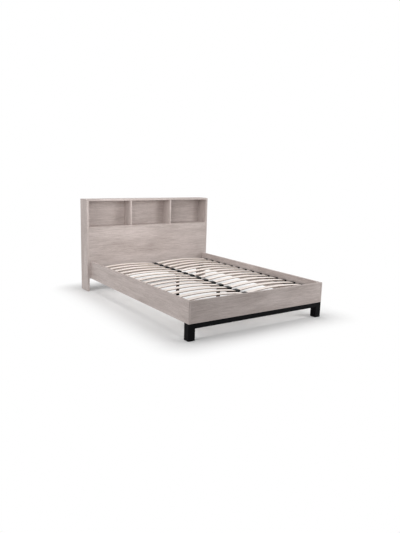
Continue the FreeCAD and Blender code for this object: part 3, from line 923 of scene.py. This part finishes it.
def pan_head_screw(radius, length):
    """A wood screw with a crowned head, a cross recess and a point."""
    head, shank = add_head_and_shank(radius, SCREW_HEAD_HEIGHT, SCREW_SHANK_RADIUS, length)
    with shaping(shank):
        pick("FACE", lambda face: lies_at(face, 2, -length))
        bpy.ops.transform.translate(value=(0, 0, SCREW_TIP_LENGTH))
        bpy.ops.mesh.extrude_region_move(TRANSFORM_OT_translate={"value": (0, 0, -SCREW_TIP_LENGTH)})
        bpy.ops.transform.resize(value=(SCREW_TIP_SHARE, SCREW_TIP_SHARE, 1.0))
    combine(head, shank, "UNION")
    for half_x, half_y in ((CROSS_LENGTH / 2, CROSS_WIDTH / 2), (CROSS_WIDTH / 2, CROSS_LENGTH / 2)):
        bit = add_block((-half_x, -half_y, -CROSS_DEPTH), (half_x, half_y, CROSS_DEPTH))
        combine(head, bit, "DIFFERENCE")
    return head


def socket_bolt(radius, length):
    """A bolt whose head has a hexagonal socket."""
    thin = radius < THIN_BOLT_HEAD_RADIUS + HEAD_RADIUS_SLACK
    head_height = THIN_BOLT_HEAD_HEIGHT if thin else THICK_BOLT_HEAD_HEIGHT
    shank_radius = radius * SHANK_SHARE
    head, shank = add_head_and_shank(radius, head_height, shank_radius, length)
    round_size = shank_radius * SHANK_ROUND_SHARE
    round_off(shank, round_size, SMALL_ROUND_STEPS, lambda edge: lies_at(edge, 2, -length))
    combine(head, shank, "UNION")
    socket_depth = head_height / 2
    socket = add_rod((0, 0, -socket_depth), radius * SOCKET_SHARE, socket_depth * 2, SOCKET_SIDES)
    combine(head, socket, "DIFFERENCE")
    return head


def reach_beyond(points, centre, way, distance):
    """How far the points beyond a distance along a way lie from the line through the centre."""
    arms = [point - centre for point in points]
    return max((arm - arm.project(way)).length for arm in arms if arm.dot(way) > distance)


def place_fitting(points):
    """Where a screw or bolt is: its head's top, the way it looks, its head's radius and its length."""
    low, high = box_of(points)
    size = high - low
    axis = max(range(3), key=lambda number: size[number])
    centre = (low + high) / 2
    upward = Vector(1 if number == axis else 0 for number in range(3))
    # The last third of the length starts a sixth of it from the centre, and the head is at the wider end.
    last_third = size[axis] / 6
    upper_reach, lower_reach = (reach_beyond(points, centre, way, last_third) for way in (upward, -upward))
    outward = upward if upper_reach > lower_reach else -upward
    head_top = centre + outward * size[axis] / 2
    radius = max(size[number] for number in range(3) if number != axis) / 2
    return head_top, outward, round(radius, RADIUS_DIGITS), round(size[axis], LENGTH_DIGITS)


def fit_all(node, make_pattern):
    """Models each kind of fitting in a CAD node once, and copies it to every place."""
    patterns = {}
    copies = []
    for points in solids_in(node):
        head_top, outward, radius, length = place_fitting(points)
        if (radius, length) not in patterns:
            patterns[radius, length] = make_pattern(radius, length)
        turn = outward.to_track_quat("Z", "Y").to_matrix().to_4x4()
        copies.append(copied(patterns[radius, length], Matrix.Translation(head_top) @ turn))
    for pattern in patterns.values():
        bpy.data.objects.remove(pattern)
    return copies


# --- The stage ---


def make_world():
    """Soft light from all round, which the camera sees as plain white."""
    world = bpy.data.worlds.new("studio")
    bpy.context.scene.world = world
    world.use_nodes = True
    world.node_tree.nodes.clear()
    sky = Shading(world.node_tree)
    light, white = (
        sky.node("ShaderNodeBackground", None, {"Color": WHITE, "Strength": strength})
        for strength in (WORLD_LIGHT, 1.0))
    sky.mix_shaders(sky.seen_directly(), light, white, sky.node("ShaderNodeOutputWorld"))


def make_floor():
    """A floor that keeps the bed's shadow near it, with painted light under the slats, and is plain white
    further out.
    """
    bpy.ops.object.select_all(action="DESELECT")
    bpy.ops.mesh.primitive_plane_add(size=FLOOR_SIZE)
    floor = bpy.context.object
    floor.name = "studio_floor"
    finish = Finish("studio_floor")
    finish.surface((FLOOR_WHITE,) * 3, FLOOR_ROUGHNESS, specular=0.0)
    x, y, _ = finish.object_place()
    half_width = (cad_box[1].x - cad_box[0].x) / 2
    half_length = (cad_box[1].y - cad_box[0].y) / 2
    away_x = (abs(x) - half_width).larger(0.0)
    away_y = (abs(y) - half_length).larger(0.0)
    outer = (away_x * away_x + away_y * away_y).root().rise(SHADOW_EDGE, SHADOW_REACH)
    # Painted light: behind the foot end, the floor under the slats is mostly plain white to the camera,
    # which lightens the bed's shadow there.
    from_side = (half_width - abs(x)).rise(INNER_EDGE, INNER_EDGE + INNER_SOFTNESS)
    from_foot = (y + half_length).rise(INNER_FOOT, INNER_FOOT + INNER_SOFTNESS)
    from_head = (half_length - y).rise(INNER_EDGE, INNER_EDGE + INNER_SOFTNESS)
    painted_light_under_slats = from_side * from_foot * from_head
    glow_share = outer * (1 - FLOOR_GLOW) + painted_light_under_slats * (UNDER_SLATS_PAINTED_LIGHT - FLOOR_GLOW) + FLOOR_GLOW
    white = finish.node("ShaderNodeEmission", None, {"Color": WHITE, "Strength": 1.0})
    output = finish.tree.nodes["Material Output"]
    finish.mix_shaders(finish.seen_directly() * glow_share, finish.shader, white, output)
    floor.data.materials.append(finish.material)


def make_lamp(name, place, target, size, power):
    bpy.ops.object.light_add(type="AREA", location=place)
    lamp = bpy.context.object
    lamp.name = name
    lamp.rotation_euler = (target - place).to_track_quat("-Z", "Y").to_euler()
    lamp.data.size = size
    lamp.data.energy = power
    lamp.visible_camera = False
    lamp.visible_glossy = name not in LAMPS_WITHOUT_SHINE


def make_camera():
    """The camera that took the photograph."""
    bpy.ops.object.camera_add()
    camera = bpy.context.object
    camera.name = "photograph_camera"
    forward = Vector((
        math.sin(CAMERA_YAW) * math.cos(CAMERA_PITCH),
        math.cos(CAMERA_YAW) * math.cos(CAMERA_PITCH),
        -math.sin(CAMERA_PITCH),
    ))
    level = Vector((math.cos(CAMERA_YAW), -math.sin(CAMERA_YAW), 0.0))
    above = level.cross(forward)
    right = level * math.cos(CAMERA_ROLL) + above * math.sin(CAMERA_ROLL)
    up = above * math.cos(CAMERA_ROLL) - level * math.sin(CAMERA_ROLL)
    turn = Matrix((right, up, -forward)).transposed().to_4x4()
    camera.matrix_world = Matrix.Translation(CAMERA_PLACE) @ turn
    data = camera.data
    data.lens = FOCAL_PIXELS * data.sensor_width / FRAME_HEIGHT
    data.shift_x = (FRAME_WIDTH / 2 - CENTRE_PIXEL_X) / FRAME_HEIGHT
    data.shift_y = (CENTRE_PIXEL_Y - FRAME_HEIGHT / 2) / FRAME_HEIGHT
    data.clip_end = CAMERA_REACH
    bpy.context.scene.camera = camera


# --- Operators ---


class BED_OT_laminate_boards(bpy.types.Operator):
    """Dress the headboard, the side rails and the foot panel in oak laminate."""

    bl_idname = "bed.laminate_boards"
    bl_label = "Laminate boards"

    def execute(self, context):
        seed = 0
        for grain, names in (("X", GRAIN_ACROSS_BED), ("Y", GRAIN_ALONG_BED), ("Z", GRAIN_UPRIGHT)):
            for name in names:
                seed += 1
                dress((name,), oak_laminate("oak_" + name, grain, seed))
        return {"FINISHED"}


class BED_OT_slats(bpy.types.Operator):
    """Dress the bowed slats in birch."""

    bl_idname = "bed.slats"
    bl_label = "Slats"

    def execute(self, context):
        dress(SLAT_NODES, birch_slats())
        return {"FINISHED"}


class BED_OT_slat_holders(bpy.types.Operator):
    """Model the moulded caps that hold the slats' ends, and dress the legs' plugs."""

    bl_idname = "bed.slat_holders"
    bl_label = "Slat holders"

    def execute(self, context):
        finish = moulded_plastic("black_plastic", context.scene.bed_colours.plastic, CAP_GRAIN_LUMP)
        for node, name, make in (
            ("side_slat_holders", "side_slat_caps", side_holder),
            ("centre_slat_holders", "centre_slat_caps", centre_holder),
        ):
            boxes = [box_of(points) for points in solids_in(node)]
            pattern = make(*next(box for box in boxes if box[1].x > 0))
            copies = []
            for low, high in boxes:
                turn = HALF_TURN if high.x < 0 else Matrix.Identity(4)
                copies.append(copied(pattern, Matrix.Translation((0, (low.y + high.y) / 2, 0)) @ turn))
            bpy.data.objects.remove(pattern)
            join_as(name, copies, finish, node)
        dress(("leg_plugs",), finish)
        return {"FINISHED"}


class BED_OT_steel_parts(bpy.types.Operator):
    """Dress the legs, crossbar, ledges, centre rail and brackets in powder coat."""

    bl_idname = "bed.steel_parts"
    bl_label = "Steel parts"

    def execute(self, context):
        dress(STEEL_NODES, powder_coat())
        return {"FINISHED"}


class BED_OT_glides(bpy.types.Operator):
    """Dress the glides under the gables."""

    bl_idname = "bed.glides"
    bl_label = "Glides"

    def execute(self, context):
        finish = moulded_plastic("glide_plastic", context.scene.bed_colours.glide, GLIDE_GRAIN_LUMP)
        dress(("gable_glides",), finish)
        return {"FINISHED"}


class BED_OT_fittings(bpy.types.Operator):
    """Model the screws and bolts, and dress the cams, blocks and dowels."""

    bl_idname = "bed.fittings"
    bl_label = "Fittings"

    def execute(self, context):
        finish = zinc_plate()
        for node, name, make_pattern in (
            ("wood_screws", "cross_head_screws", pan_head_screw),
            ("frame_bolts", "socket_bolts", socket_bolt),
        ):
            join_as(name, fit_all(node, make_pattern), finish, node)
        dress(("cam_fittings",), finish)
        dress(TIMBER_NODES, plain_timber())
        return {"FINISHED"}


class BED_OT_stage(bpy.types.Operator):
    """Set up the floor, the lamps, the world and the camera."""

    bl_idname = "bed.stage"
    bl_label = "Stage"

    def execute(self, context):
        make_world()
        make_floor()
        for lamp in LAMPS:
            make_lamp(*lamp)
        make_camera()
        context.scene.view_settings.view_transform = "Standard"
        return {"FINISHED"}


OPERATORS = (
    BED_OT_laminate_boards,
    BED_OT_slats,
    BED_OT_slat_holders,
    BED_OT_steel_parts,
    BED_OT_glides,
    BED_OT_fittings,
    BED_OT_stage,
)


class BED_PT_panel(bpy.types.Panel):
    """The bed's steps and settings in the 3D view's sidebar."""

    bl_idname = "BED_PT_panel"
    bl_label = "Bookcase headboard bed"
    bl_space_type = "VIEW_3D"
    bl_region_type = "UI"
    bl_category = "Bed"

    def draw(self, context):
        for operator in OPERATORS:
            self.layout.operator(operator.bl_idname)
        for group in (context.scene.bed_colours, context.scene.bed_sizes):
            for name in group.__annotations__:
                self.layout.prop(group, name)


CLASSES = (BedColours, BedSizes) + OPERATORS + (BED_PT_panel,)


def register():
    for item in CLASSES:
        bpy.utils.register_class(item)
    bpy.types.Scene.bed_colours = bpy.props.PointerProperty(type=BedColours)
    bpy.types.Scene.bed_sizes = bpy.props.PointerProperty(type=BedSizes)


def unregister():
    del bpy.types.Scene.bed_sizes
    del bpy.types.Scene.bed_colours
    for item in reversed(CLASSES):
        bpy.utils.unregister_class(item)


def main():
    register()
    bpy.ops.bed.laminate_boards()
    bpy.ops.bed.slats()
    bpy.ops.bed.slat_holders()
    bpy.ops.bed.steel_parts()
    bpy.ops.bed.glides()
    bpy.ops.bed.fittings()
    bpy.ops.bed.stage()


if __name__ == "__main__":
    main()
